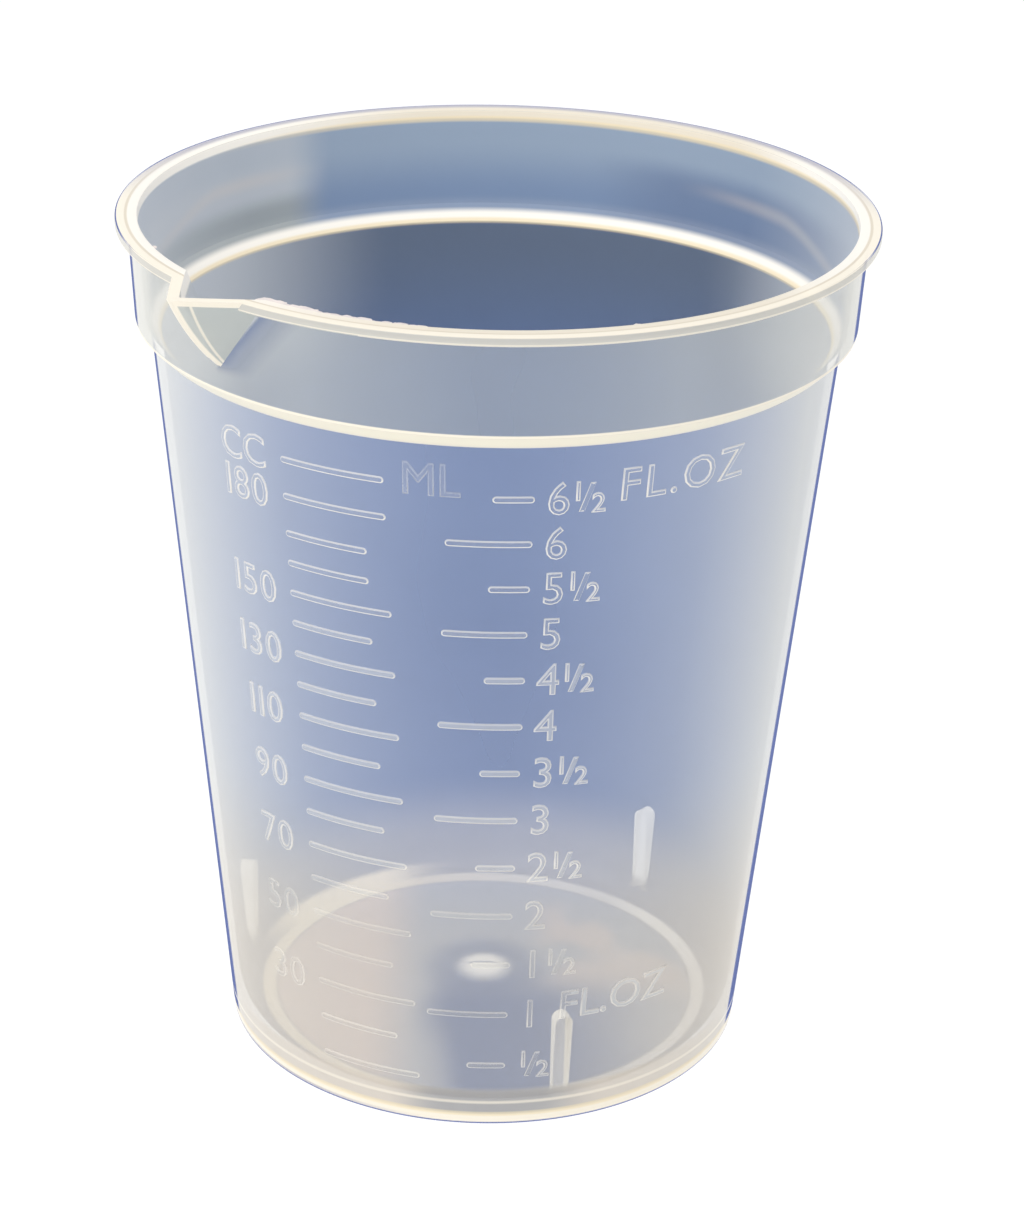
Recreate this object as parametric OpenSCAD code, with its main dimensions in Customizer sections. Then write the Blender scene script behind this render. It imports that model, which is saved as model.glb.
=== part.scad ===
// Graduated mixing cup, injection moulded in translucent plastic.
// One moulding, drawn as the regions that a mould maker names, which meet face to face.
// The origin is on the cup's axis, on the surface that it stands on. +Z is up.
// Directions round the axis are angles from +X, anticlockwise seen from above.
// The scales face -Y, and the spout points between -X and -Y.

/* [Body] */
// Height of the rim above the table
cup_h = 88.2; // [84:0.2:100]
// Diameter over the rim bead
rim_d = 75; // [74:0.5:90]
// Outer diameter at the table, before the corner is rounded
base_d = 54; // [48:0.5:60]
// Thickness of the wall, measured level
wall_t = 1; // [0.7:0.05:1.4]

/* [Shoulder and collar] */
// Height of the band from the shoulder's lower edge to the rim
band_h = 11.7; // [9:0.1:20]
// Rise of the shoulder
shoulder_h = 1.5; // [1:0.1:3]
// Distance that the shoulder steps out from the tapered wall
shoulder_w = 1.55; // [1:0.05:3]
// Distance that the collar widens on each side from the shoulder to the bead
collar_flare = 0.55; // [0.1:0.05:1.5]

/* [Rim bead] */
// Height of the bead
bead_h = 0.9; // [0.5:0.1:2]
// Distance that the bead stands out from the collar
bead_w = 1.2; // [0.5:0.1:3]
// Radius of the bead's outer edges
bead_round = 0.2; // [0.1:0.05:0.24]

/* [Floor] */
// Thickness of the floor
floor_t = 1; // [0.7:0.05:1.6]
// Rise of the floor from its edge to its centre
push_up = 1.8; // [0.6:0.1:3]
// Radius of the hollow corner between floor and wall
heel_r = 4; // [2:0.1:5]
// Radius of the outer corner at the table
corner_r = 0.4; // [0.3:0.1:1.2]

/* [Gate mark] */
// Diameter of the raised lens over the gate, inside the cup
gate_d = 6; // [3:0.5:10]
// Height of the lens
gate_h = 0.5; // [0.3:0.1:1]
// Diameter of the gate's stub under the floor
stub_d = 1.2; // [0.8:0.1:2]
// Length of the stub, shorter than the floor's rise so that it clears the table
stub_h = 0.4; // [0.2:0.1:0.5]

/* [Stacking ribs] */
// Number of ribs
rib_count = 3; // [2:1:6]
// Direction of the first rib
rib_az = 48; // [0:1:119]
// Width of a rib
rib_w = 1.8; // [1:0.1:3]
// Height of the ribs' tops above the table
rib_top = 12.2; // [10:0.1:20]
// Distance that a rib's top reaches in from the wall
rib_reach = 1.5; // [1:0.1:2.5]

/* [Pour spout] */
// Direction of the spout
spout_az = 225; // [215:1:250]
// Distance from the bead's edge to the spout's tip
spout_reach = 4.4; // [3:0.1:5.5]
// Distance from the shoulder up to the foot of the spout's ridge
spout_above = 2.2; // [1.6:0.1:5]
// Half of the angle between the spout's faces, square to the ridge
spout_half = 50; // [40:1:56]
// Distance that the ridge bows out from a straight line
ridge_bow = 0.5; // [0.2:0.1:1.2]
// Outer radius of the ridge
ridge_round = 0.6; // [0.3:0.1:1]

/* [Scale lines] */
// Width of a scale line
line_w = 0.7; // [0.5:0.1:1.4]
// Height of a scale line above the wall
line_relief = 0.3; // [0.15:0.05:0.6]
// Direction of the outer end of every millilitre line
cc_az = 234.6; // [230:0.1:245]
// Length of a long millilitre line
cc_long = 10.9; // [8:0.1:12]
// Length of a short millilitre line
cc_short = 8.8; // [5:0.1:9.5]
// Millilitres from one line to the next
cc_step = 10; // [5:5:20]
// Last line of the even part of the millilitre scale
cc_last = 170; // [120:10:170]
// Millilitres from line to line above the even part, where the lines stand high
cc_top_step = 12.7; // [10:0.1:13]
// Direction of the outer ends of the ounce lines at the table
oz_az_foot = 275; // [270:0.5:280]
// Direction of the outer ends of the ounce lines at the shoulder
oz_az_top = 277; // [270:0.5:282]
// Length of a long ounce line
oz_long = 8.1; // [6:0.1:10]
// Length of a short ounce line
oz_short = 3.9; // [2:0.1:5]
// Half ounces on the ounce scale
oz_halves = 13; // [8:1:13]
// Millilitres in one fluid ounce
oz_ml = 29.57; // [28.41:0.01:29.57]
// Distance that the ounce lines stand low half-way up, as they do in the photograph
oz_sag = 0.9; // [0:0.1:1.2]

/* [Hidden] */
$fn = 144;

// Radii and levels that follow from the sizes above
rim_r = rim_d / 2;
base_r = base_d / 2;
collar_top_r = rim_r - bead_w;
collar_r = collar_top_r - collar_flare;
neck_r = collar_r - shoulder_w;
bead_z = cup_h - bead_h;
shoulder_z = cup_h - band_h;
collar_z = shoulder_z + shoulder_h;
wall_slope = (neck_r - base_r) / shoulder_z;
wall_tilt = atan(wall_slope);
collar_slope = (collar_top_r - collar_r) / (bead_z - collar_z);
in_base_r = base_r - wall_t;
heel_n = 10;
round_n = 4;
over = 2;

// Outer radius of the tapered wall at a height
function wall_r(z) = base_r + wall_slope * z;

// Outer radius of the collar at a height
function collar_at(z) = collar_r + collar_slope * (z - collar_z);

// Points of an arc
function arc(c, r, from, to, n) = [for (i = [0 : n]) let (a = from + (to - from) * i / n) c + r * [cos(a), sin(a)]];

// Centre of the heel's hollow, which touches the floor and the inner wall
heel_c = [in_base_r + wall_slope * (floor_t + heel_r) - heel_r / cos(wall_tilt), floor_t + heel_r];

// The floor ends where the heel begins
floor_r = heel_c[0];

// Radius of the sphere that the pushed-up floor is part of, from its width and its rise
function dome_r(half_w, rise) = (half_w * half_w + rise * rise) / (2 * rise);
floor_dome = dome_r(floor_r, push_up);

// The lens over the gate sits on the floor's dome, whose drop at the lens's edge it takes up
gate_r = gate_d / 2;
gate_drop = floor_dome - sqrt(floor_dome * floor_dome - gate_r * gate_r);
gate_dome = dome_r(gate_r, gate_h + gate_drop);

// Height at which the cup holds a volume in millilitres, from the cone of the inner wall
function fill_z(ml) =
  let (r = in_base_r + wall_slope * floor_t)
  (pow(pow(r, 3) + 3 * wall_slope * ml * 1000 / PI, 1 / 3) - in_base_r) / wall_slope;

// A line is left out if it would reach the shoulder
function fits(z) = z + line_w / 2 < shoulder_z;

// The spout's ridge is an arc from its foot on the collar to its tip on the rim
ridge_z = collar_z + spout_above;
ridge_foot = [collar_at(ridge_z), ridge_z];
ridge_tip = [rim_r + spout_reach, cup_h];
ridge_run = ridge_tip - ridge_foot;
ridge_chord = norm(ridge_run);
ridge_r = (ridge_chord * ridge_chord / 4 + ridge_bow * ridge_bow) / (2 * ridge_bow);
ridge_c = (ridge_foot + ridge_tip) / 2 + (ridge_r - ridge_bow) / ridge_chord * [-ridge_run[1], ridge_run[0]];
foot_az = atan2(ridge_foot[1] - ridge_c[1], ridge_foot[0] - ridge_c[0]);
tip_az = atan2(ridge_tip[1] - ridge_c[1], ridge_tip[0] - ridge_c[0]);
foot_more = 14;
tip_more = 10;
face_l = 13;

// Inside of the cup below the shoulder, with the heel's hollow corner
module bowl_outline() {
  polygon(concat(
    [[0, floor_t]],
    arc(heel_c, heel_r, -90, -wall_tilt, heel_n),
    [[wall_r(shoulder_z) - wall_t, shoulder_z], [0, shoulder_z]]
  ));
}

// Section of a low dome whose top is at a height on the axis
module dome_outline(top, r) {
  intersection() {
    translate([0, top - r]) circle(r, $fn = 1440);
    translate([0, top - 4 * push_up]) square([floor_r, 4 * push_up]);
  }
}

// Points down a low dome from its top at a height on the axis to a distance from the axis
function dome_points(top, r, half_w) = arc([0, top - r], r, 90, acos(half_w / r), round_n);

function reversed(points) = [for (i = [len(points) - 1 : -1 : 0]) points[i]];

// Tapered side wall with the heel and the foot ring
module cup_wall() {
  color([0.80, 0.83, 0.86, 0.6])
  rotate_extrude()
  difference() {
    polygon(concat(
      [[floor_r, 0]],
      arc([base_r - corner_r, corner_r], corner_r, -90, -wall_tilt, round_n),
      [[neck_r, shoulder_z], [neck_r - wall_t, shoulder_z], [floor_r, shoulder_z]]
    ));
    bowl_outline();
  }
}

// Floor, pushed up in the middle so that the cup stands on its foot ring
module cup_floor() {
  color([0.72, 0.76, 0.82, 0.6])
  rotate_extrude()
  difference() {
    dome_outline(floor_t + push_up, floor_dome);
    dome_outline(push_up, floor_dome);
  }
}

// Lens over the gate inside the cup, and the gate's stub underneath
module gate_mark() {
  color([0.93, 0.90, 0.84, 0.8]) {
    rotate_extrude()
    polygon(concat(
      dome_points(floor_t + push_up + gate_h, gate_dome, gate_r),
      [for (p = reversed(dome_points(floor_t + push_up, floor_dome, gate_r))) if (p[0] < gate_r) p]
    ));
    rotate_extrude()
    polygon(concat(
      dome_points(push_up, floor_dome, stub_d / 2),
      [[stub_d / 2, push_up - stub_h], [0, push_up - stub_h]]
    ));
  }
}

// Ribs inside the foot of the wall, on which the next cup in a stack stands
module stacking_ribs() {
  rib_in_r = wall_r(rib_top) - wall_t - rib_reach;
  color([0.88, 0.87, 0.84, 0.7])
  intersection() {
    rotate_extrude() bowl_outline();
    for (i = [0 : rib_count - 1])
      rotate([90, 0, 90 + rib_az + i * 360 / rib_count])
      translate([0, 0, rib_in_r])
      linear_extrude(rib_reach + over)
      polygon(concat([[-rib_w / 2, 0], [rib_w / 2, 0]], arc([0, rib_top - rib_w / 2], rib_w / 2, 0, 180, 8)));
  }
}

// Step out from the tapered wall to the collar
module shoulder() {
  color([0.93, 0.90, 0.84, 0.7])
  rotate_extrude()
  polygon([
    [neck_r - wall_t, shoulder_z],
    [neck_r, shoulder_z],
    [collar_r, collar_z],
    [collar_r - wall_t, collar_z]
  ]);
}

// Wedge swept along the ridge, moved in from the outer faces by a distance
module spout_wedge(inset, r) {
  apex = ridge_r - inset / sin(spout_half);
  tip_c = apex - (r / sin(spout_half) - r) - r;
  leg = [apex - face_l * cos(spout_half), face_l * sin(spout_half)];
  rotate([0, 0, spout_az])
  translate([ridge_c[0], 0, ridge_c[1]])
  rotate([90, 0, 0])
  rotate([0, 0, foot_az - foot_more])
  rotate_extrude(angle = tip_az - foot_az + foot_more + tip_more)
  polygon(concat(
    [[leg[0], -leg[1]]],
    arc([tip_c, 0], r, spout_half - 90, 90 - spout_half, round_n),
    [leg]
  ));
}

// Wall above the shoulder, open where the spout leaves it
module collar() {
  color([0.82, 0.85, 0.88, 0.6])
  difference() {
    rotate_extrude()
    polygon([
      [collar_r - wall_t, collar_z],
      [collar_r, collar_z],
      [collar_top_r, bead_z],
      [collar_top_r - wall_t, bead_z]
    ]);
    spout_wedge(0, ridge_round);
  }
}

// Bead that stiffens the rim, cut off by the spout's faces
module rim_bead() {
  color([0.96, 0.93, 0.86, 0.8])
  difference() {
    rotate_extrude()
    polygon(concat(
      [[collar_top_r - wall_t, bead_z]],
      arc([rim_r - bead_round, bead_z + bead_round], bead_round, -90, 0, round_n),
      arc([rim_r - bead_round, cup_h - bead_round], bead_round, 0, 90, round_n),
      [[collar_top_r - wall_t, cup_h]]
    ));
    spout_wedge(0, ridge_round);
  }
}

// Pour spout, a folded lip whose two faces meet in a bowed ridge
module pour_spout() {
  color([0.90, 0.90, 0.88, 0.7])
  difference() {
    spout_wedge(0, ridge_round);
    spout_wedge(wall_t, ridge_round / 2);
    rotate_extrude()
    polygon([
      [0, 0],
      [collar_at(0) - wall_t, 0],
      [collar_at(cup_h + over) - wall_t, cup_h + over],
      [0, cup_h + over]
    ]);
    translate([0, 0, cup_h]) cylinder(h = rim_r, r = 2 * rim_r);
  }
}

// Outline of a scale line with round ends, its outer end at the origin
module line_outline(l) {
  polygon(concat(
    arc([l - line_w / 2, 0], line_w / 2, -90, 90, round_n),
    arc([line_w / 2, 0], line_w / 2, 90, 270, round_n)
  ));
}

// Raised line on the wall at a height, running to one side of a direction
module scale_line(z, l, az, side) {
  turn = side * l / 2 / wall_r(z) * 180 / PI;
  rotate([90, 0, 90 + az + turn])
  translate([-l / 2, z, wall_r(z) - over])
  linear_extrude(2 * over)
  line_outline(l);
}

// Thin skin on the wall that the lines are cut from
module line_skin() {
  rotate_extrude()
  polygon([
    [base_r, 0],
    [base_r + line_relief, 0],
    [neck_r + line_relief, shoulder_z],
    [neck_r, shoulder_z]
  ]);
}

// Millilitre scale, long lines on the marks that carry a figure
module cc_lines() {
  count = cc_last / cc_step;
  color([0.97, 0.96, 0.93, 0.9])
  intersection() {
    line_skin();
    union() {
      for (i = [1 : count + 2]) {
        ml = i * cc_step + max(0, i - count) * (cc_top_step - cc_step);
        labelled = i % 2 == 1 && i < count || i > count;
        z = fill_z(ml);
        if (fits(z))
          scale_line(z, labelled ? cc_long : cc_short, cc_az, 1);
      }
    }
  }
}

// Ounce scale, long lines on whole ounces and short ones on halves
module ounce_lines() {
  color([0.97, 0.96, 0.93, 0.9])
  intersection() {
    line_skin();
    union() {
      for (i = [1 : oz_halves]) {
        true_z = fill_z(i / 2 * oz_ml);
        z = true_z - oz_sag * sin(180 * true_z / shoulder_z);
        az = oz_az_foot + (oz_az_top - oz_az_foot) * z / shoulder_z;
        if (fits(z))
          scale_line(z, i % 2 == 0 ? oz_long : oz_short, az, -1);
      }
    }
  }
}

cup_wall();
cup_floor();
gate_mark();
stacking_ribs();
shoulder();
collar();
rim_bead();
pour_spout();
cc_lines();
ounce_lines();
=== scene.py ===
# %% [markdown]
# # A graduated mixing cup of cloudy plastic
# The cup is one thin moulding of natural plastic, so its looks are all in how light gets through it: a
# milky wall, bright rims and steps, and raised figures that show by their edges. The CAD model gives
# the frame. This lesson turns a smooth shell in that frame and then makes the plastic.

# %% Load the frame
import math
import random

import bpy
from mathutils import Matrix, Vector


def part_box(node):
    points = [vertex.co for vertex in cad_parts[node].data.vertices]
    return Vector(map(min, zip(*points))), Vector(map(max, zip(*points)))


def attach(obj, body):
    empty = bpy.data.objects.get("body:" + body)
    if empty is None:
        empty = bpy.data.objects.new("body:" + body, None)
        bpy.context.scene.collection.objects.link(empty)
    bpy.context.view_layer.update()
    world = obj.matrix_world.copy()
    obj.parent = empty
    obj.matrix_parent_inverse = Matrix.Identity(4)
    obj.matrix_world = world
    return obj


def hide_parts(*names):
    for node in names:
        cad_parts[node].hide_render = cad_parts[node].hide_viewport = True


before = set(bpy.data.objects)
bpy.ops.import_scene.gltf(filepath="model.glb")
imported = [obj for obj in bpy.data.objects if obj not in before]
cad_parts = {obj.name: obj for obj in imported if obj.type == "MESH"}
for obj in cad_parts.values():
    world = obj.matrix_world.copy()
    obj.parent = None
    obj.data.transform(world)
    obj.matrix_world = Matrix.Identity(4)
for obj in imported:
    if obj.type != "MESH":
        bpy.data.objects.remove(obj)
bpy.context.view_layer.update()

MM = 0.001
TINY = 0.001 * MM

# %% [markdown]
# ## Adding nodes
# A material is a graph of nodes. Each helper below adds one or a few of them and reads like the
# arithmetic that it does, so the materials further down read like recipes. A node joins the graph
# that its inputs belong to, and only the first ones of a graph have to be told which that is.

# %% Helpers for nodes
WHITE = (1, 1, 1, 1)


def wire(kind, inputs, output=0, tree=None, **settings):
    """Adds a node, sets it up, feeds its inputs with sockets or plain values, and gives an output."""
    fed = {name for name, value in inputs.items() if isinstance(value, bpy.types.NodeSocket)}
    if tree is None:
        tree = next(inputs[name].id_data for name in fed)
    made = tree.nodes.new("ShaderNode" + kind)
    for name, value in settings.items():
        setattr(made, name, value)
    for name, value in inputs.items():
        if name in fed:
            tree.links.new(value, made.inputs[name])
        else:
            made.inputs[name].default_value = value
    return made.outputs[output]


def calculate(operation, *values, clamp=False):
    """One step of arithmetic, kept between 0 and 1 if it is clamped."""
    return wire("Math", dict(enumerate(values)), operation=operation, use_clamp=clamp)


def chain(operation, values, clamp=False):
    """Takes values through the same arithmetic one after another."""
    total = values[0]
    for value in values[1:]:
        total = calculate(operation, total, value, clamp=clamp)
    return total


def times(*values, clamp=False):
    """Product of some values."""
    return chain("MULTIPLY", values, clamp)


def larger(*values):
    """The largest of some values."""
    return chain("MAXIMUM", values)


def minus(first, second, clamp=False):
    """Difference of two values."""
    return calculate("SUBTRACT", first, second, clamp=clamp)


def gap(first, second):
    """Distance between two values."""
    return calculate("ABSOLUTE", minus(first, second))


# %% [markdown]
# Most recipes need a share that is 1 in one place, 0 in another and fades between them, and colours
# that are laid over each other by such shares.

# %% Helpers for shares and colours
def between(value, low, high, start=0, end=1, curve="LINEAR"):
    """Goes from start to end while a value goes from low to high, and stays there."""
    limits = {"From Min": low, "From Max": high, "To Min": start, "To Max": end}
    return wire("MapRange", {"Value": value, **limits}, interpolation_type=curve)


def ramp(value, low, high):
    """0 below a value, 1 above another, and a soft rise between them."""
    return between(value, low, high, curve="SMOOTHSTEP")


def fade(value, low, high):
    """1 below a value, 0 above another, and a soft fall between them."""
    return between(value, low, high, 1, 0, "SMOOTHSTEP")


def band(value, low, high, soft):
    """1 between two values, fading out over a distance on each side."""
    return times(ramp(value, low - soft, low), fade(value, high, high + soft))


def mix(share, first, second):
    """Value between two others, nearer to the second by its share."""
    return wire("Mix", {0: share, 2: first, 3: second}, data_type="FLOAT")


def blend(share, first, second):
    """Colour between two others, nearer to the second by its share."""
    return wire("Mix", {0: share, 6: first, 7: second}, 2, data_type="RGBA")


def paint(ground, *coats):
    """Lays coats over a ground colour one after another, each a share and a colour."""
    for share, colour in coats:
        ground = blend(share, ground, colour)
    return ground


def noise(place, scale, detail=2):
    """Soft noise, finer with a higher scale."""
    return wire("TexNoise", {"Vector": place, "Scale": scale, "Detail": detail}, "Fac")


# %% [markdown]
# ## The camera
# A picture only compares with a photograph if it is taken from the same place. The photograph was
# taken from a little above the rim and close by, so the cup narrows downwards more than it really
# does. The camera stands there, aimed half-way up the cup, and is tipped a little to one side.

# %% Camera
LENS = 100.67
CAMERA_PLACE = Vector((2.15, -319.4, 188.7)) * MM
CAMERA_AIM = Vector((2.15, 0, 45.56)) * MM
CAMERA_TIP = math.radians(1.306)

camera_data = bpy.data.cameras.new("portrait")
camera_data.lens = LENS
camera_data.sensor_width = 36
camera_data.clip_start = 0.01
camera = bpy.data.objects.new("portrait", camera_data)
bpy.context.scene.collection.objects.link(camera)
camera.location = CAMERA_PLACE
camera.rotation_mode = "QUATERNION"
camera.rotation_quaternion = (CAMERA_AIM - CAMERA_PLACE).to_track_quat("-Z", "Y")
camera.rotation_mode = "XYZ"
camera.rotation_euler.rotate_axis("Z", CAMERA_TIP)
bpy.context.scene.camera = camera
print("camera", [round(v / MM) for v in CAMERA_PLACE], "mm, lens", LENS)

# %% [markdown]
# ## The studio
# The cup stands on a pale floor under an even white sky, with one large soft lamp at the upper left.
# What lies behind a see-through piece is part of its looks. So the sky and the floor are white to the
# camera, also through the cup or mirrored in it, and give a little less light than that. The floor
# keeps the soft shadow.

# %% Floor, sky and lamp
SKY_LEVEL = 0.88
FLOOR_COLOUR = (0.93, 0.93, 0.93, 1)
FLOOR_LIFT = 0.12
LAMP_PLACE = Vector((-500, -600, 800)) * MM
LAMP_SIZE = 0.7
LAMP_POWER = 3.6


def seen_directly(tree):
    """1 for rays that show the background, also mirrored or through glass, and 0 for rays that light."""
    path = wire("LightPath", {}, tree=tree).node
    return larger(*(path.outputs[f"Is {kind} Ray"] for kind in ("Camera", "Glossy", "Transmission")))


world = bpy.data.worlds.new("studio")
bpy.context.scene.world = world
world.use_nodes = True
sky = world.node_tree.nodes["Background"]
sky.inputs["Color"].default_value = WHITE
sky_strength = between(seen_directly(world.node_tree), 0, 1, SKY_LEVEL, 1)
world.node_tree.links.new(sky_strength, sky.inputs["Strength"])

bpy.ops.object.select_all(action="DESELECT")
bpy.ops.mesh.primitive_plane_add(size=6)
studio_floor = bpy.context.object
studio_floor.name = "studio_floor"
floor_paint = bpy.data.materials.new("floor_paint")
floor_paint.use_nodes = True
floor_tree = floor_paint.node_tree
matt = floor_tree.nodes["Principled BSDF"]
matt.inputs["Base Color"].default_value = FLOOR_COLOUR
matt.inputs["Roughness"].default_value = 0.9
matt.inputs["Specular IOR Level"].default_value = 0.1
matt.inputs["Emission Color"].default_value = WHITE
floor_tree.links.new(times(seen_directly(floor_tree), FLOOR_LIFT), matt.inputs["Emission Strength"])
studio_floor.data.materials.append(floor_paint)

lamp_data = bpy.data.lights.new("soft_lamp", "AREA")
lamp_data.size = LAMP_SIZE
lamp_data.energy = LAMP_POWER
lamp = bpy.data.objects.new("soft_lamp", lamp_data)
bpy.context.scene.collection.objects.link(lamp)
lamp.location = LAMP_PLACE
lamp.rotation_euler = (-LAMP_PLACE).to_track_quat("-Z", "Y").to_euler()
bpy.context.scene.view_settings.view_transform = "Standard"
print("floor, sky at", SKY_LEVEL, "and one lamp of", LAMP_POWER, "W")

# %% [markdown]
# ## Sizes from the frame
# The CAD nodes say where the rim, the step and the table are. The rest of the section, such as the
# thickness of the wall, is written here as real sizes in millimetres, as it is on the drawing.

# %% Sizes in millimetres
cup_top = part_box("rim_bead")[1].z / MM
rim_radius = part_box("rim_bead")[1].x / MM
bead_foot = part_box("rim_bead")[0].z / MM
collar_top_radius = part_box("collar")[1].x / MM
step_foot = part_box("shoulder")[0].z / MM
step_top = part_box("shoulder")[1].z / MM
collar_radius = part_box("shoulder")[1].x / MM
neck_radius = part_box("cup_wall")[1].x / MM

WALL = 1.0
BASE_RADIUS = 27.0
CORNER_ROUND = 0.4
HEEL_ROUND = 4.0
FLOOR = 1.0
PUSH_UP = 1.8
GATE_RADIUS = 3.0
GATE_RISE = 0.5
STUB_RADIUS = 0.6
STUB_LENGTH = 0.4
BEAD_ROUND = 0.2
LIP_ROUND = 0.15
TURNED_STEPS = 192

wall_lean = (neck_radius - BASE_RADIUS) / step_foot
wall_tilt = math.atan(wall_lean)
print("cup", round(cup_top, 1), "mm high,", round(2 * rim_radius, 1), "mm over the rim")


def wall_radius(height):
    """Outer radius of the tapered wall in millimetres at a height in millimetres."""
    return BASE_RADIUS + wall_lean * height


# %% [markdown]
# ## How to draw and turn a section
# A moulder draws a cup as half a section and turns it round its axis. In Blender the section starts
# as one point, a plane merged to its middle, which is extruded from corner to corner. Spin then
# sweeps the line round, and merging the points on the axis closes the poles. The first helpers only
# shorten what every piece needs: going in and out of edit mode, picking parts and moving them.

# %% Helpers for drawing
def start_clean():
    """Leaves edit mode and selects nothing, so that an operator acts only on what comes next."""
    if bpy.context.object and bpy.context.object.mode != "OBJECT":
        bpy.ops.object.mode_set(mode="OBJECT")
    bpy.ops.object.select_all(action="DESELECT")


def take(piece):
    """Makes one piece the selected and active one."""
    start_clean()
    piece.select_set(True)
    bpy.context.view_layer.objects.active = piece


def edit(select="SELECT"):
    """Enters edit mode with all of the piece selected, or with DESELECT none of it."""
    bpy.ops.object.mode_set(mode="EDIT")
    bpy.ops.mesh.select_all(action=select)


def leave_edit():
    """Goes back to object mode."""
    bpy.ops.object.mode_set(mode="OBJECT")


def close_up():
    """Turns all normals of the piece outwards and leaves edit mode."""
    bpy.ops.mesh.select_all(action="SELECT")
    bpy.ops.mesh.normals_make_consistent(inside=False)
    leave_edit()


def pick(piece, kind, wanted):
    """Selects those edges or vertices that are wanted, and goes on in edit mode."""
    bpy.ops.mesh.select_mode(type=kind)
    bpy.ops.mesh.select_all(action="DESELECT")
    leave_edit()
    for part in piece.data.edges if kind == "EDGE" else piece.data.vertices:
        part.select = wanted(part)
    bpy.ops.object.mode_set(mode="EDIT")


def move(x, y=0, z=0):
    """Moves what is selected, in millimetres."""
    bpy.ops.transform.translate(value=(x * MM, y * MM, z * MM))


def turn_round(piece, angle):
    """Turns a piece round the cup's axis for good."""
    piece.rotation_euler.z = angle
    bpy.ops.object.transform_apply(location=True, rotation=True, scale=True)


def draw_line(name, points):
    """Draws a line through points in millimetres by extruding a single point, and stays in edit mode."""
    start_clean()
    bpy.ops.mesh.primitive_plane_add(size=MM)
    bpy.context.object.name = name
    edit()
    bpy.ops.mesh.merge(type="CENTER")
    bpy.ops.transform.translate(value=Vector(points[0]) * MM)
    for here, there in zip(points, points[1:]):
        step = (Vector(there) - Vector(here)) * MM
        bpy.ops.mesh.extrude_region_move(TRANSFORM_OT_translate={"value": step})
    bpy.ops.mesh.select_all(action="SELECT")
    return bpy.context.object


def arc(centre, radius, start, end, count):
    """Points of an arc in a section, angles in degrees from the outward direction."""
    points = []
    for step in range(count + 1):
        angle = math.radians(start + (end - start) * step / count)
        points.append((centre[0] + radius * math.cos(angle), centre[1] + radius * math.sin(angle)))
    return points


def turn_solid(name, section):
    """Turns a section of (radius, height) points, which starts and ends on the axis, into a solid."""
    solid = draw_line(name, [(radius, 0, height) for radius, height in section])
    bpy.ops.mesh.spin(steps=TURNED_STEPS, angle=math.tau, center=(0, 0, 0), axis=(0, 0, 1))
    bpy.ops.mesh.select_all(action="SELECT")
    bpy.ops.mesh.remove_doubles(threshold=TINY)
    close_up()
    return solid


# %% [markdown]
# ## The section of the cup
# From the axis outwards the section runs over the gate's lens and the pushed-up floor, round the
# hollow heel, up the inside, over the rim bead, down the outside past the step, and back under the
# floor to the gate's stub. The floor and the lens are shallow domes, so both are arcs of large circles.

# %% Section of the cup
def dome_radius(half_width, rise):
    """Radius of the circle that a low dome is part of, from its half width and its rise."""
    return (half_width ** 2 + rise ** 2) / (2 * rise)


def dome(top, radius, start, end, count):
    """Points along a dome whose top is on the axis, from one distance to another."""
    points = []
    for step in range(count + 1):
        out = start + (end - start) * step / count
        points.append((out, top - radius + math.sqrt(radius ** 2 - out ** 2)))
    return points


inner_base = BASE_RADIUS - WALL
heel_centre = (
    inner_base + wall_lean * (FLOOR + HEEL_ROUND) - HEEL_ROUND / math.cos(wall_tilt),
    FLOOR + HEEL_ROUND,
)
floor_edge = heel_centre[0]
floor_dome = dome_radius(floor_edge, PUSH_UP)
gate_drop = floor_dome - math.sqrt(floor_dome ** 2 - GATE_RADIUS ** 2)
gate_dome = dome_radius(GATE_RADIUS, GATE_RISE + gate_drop)
tilt_degrees = math.degrees(wall_tilt)
lip_inner = collar_top_radius - WALL

section = [
    *dome(FLOOR + PUSH_UP + GATE_RISE, gate_dome, 0, GATE_RADIUS, 6),
    *dome(FLOOR + PUSH_UP, floor_dome, GATE_RADIUS, floor_edge, 10)[1:],
    *arc(heel_centre, HEEL_ROUND, -90, -tilt_degrees, 12)[1:],
    (neck_radius - WALL, step_foot),
    (collar_radius - WALL, step_top),
    *arc((lip_inner + LIP_ROUND, cup_top - LIP_ROUND), LIP_ROUND, 180, 90, 4),
    *arc((rim_radius - BEAD_ROUND, cup_top - BEAD_ROUND), BEAD_ROUND, 90, 0, 4),
    *arc((rim_radius - BEAD_ROUND, bead_foot + BEAD_ROUND), BEAD_ROUND, 0, -90, 4),
    (collar_top_radius, bead_foot),
    (collar_radius, step_top),
    (neck_radius, step_foot),
    *arc((BASE_RADIUS - CORNER_ROUND, CORNER_ROUND), CORNER_ROUND, -tilt_degrees, -90, 6),
    *dome(PUSH_UP, floor_dome, floor_edge, STUB_RADIUS, 10),
    (STUB_RADIUS, PUSH_UP - STUB_LENGTH),
    (0, PUSH_UP - STUB_LENGTH),
]
cup = turn_solid("cup_moulding", section)
print("turned", len(section), "points into", len(cup.data.polygons), "faces")

# %% [markdown]
# ## The pour spout
# The lip of the cup is folded outwards into a V whose two faces meet in a slightly bowed ridge. The
# ridge is an arc from a foot on the collar to a tip beyond the rim, so its circle comes first.

# %% Where the ridge runs
SPOUT_DIRECTION = math.radians(225)
SPOUT_REACH = 4.4
SPOUT_ABOVE_STEP = 2.2
SPOUT_HALF_ANGLE = 50
RIDGE_BOW = 0.5
RIDGE_ROUND = 0.6
FACE_LENGTH = 13
SWEEP_BELOW = 14
SWEEP_ABOVE = 10
SWEEP_STEPS = 28

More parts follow.
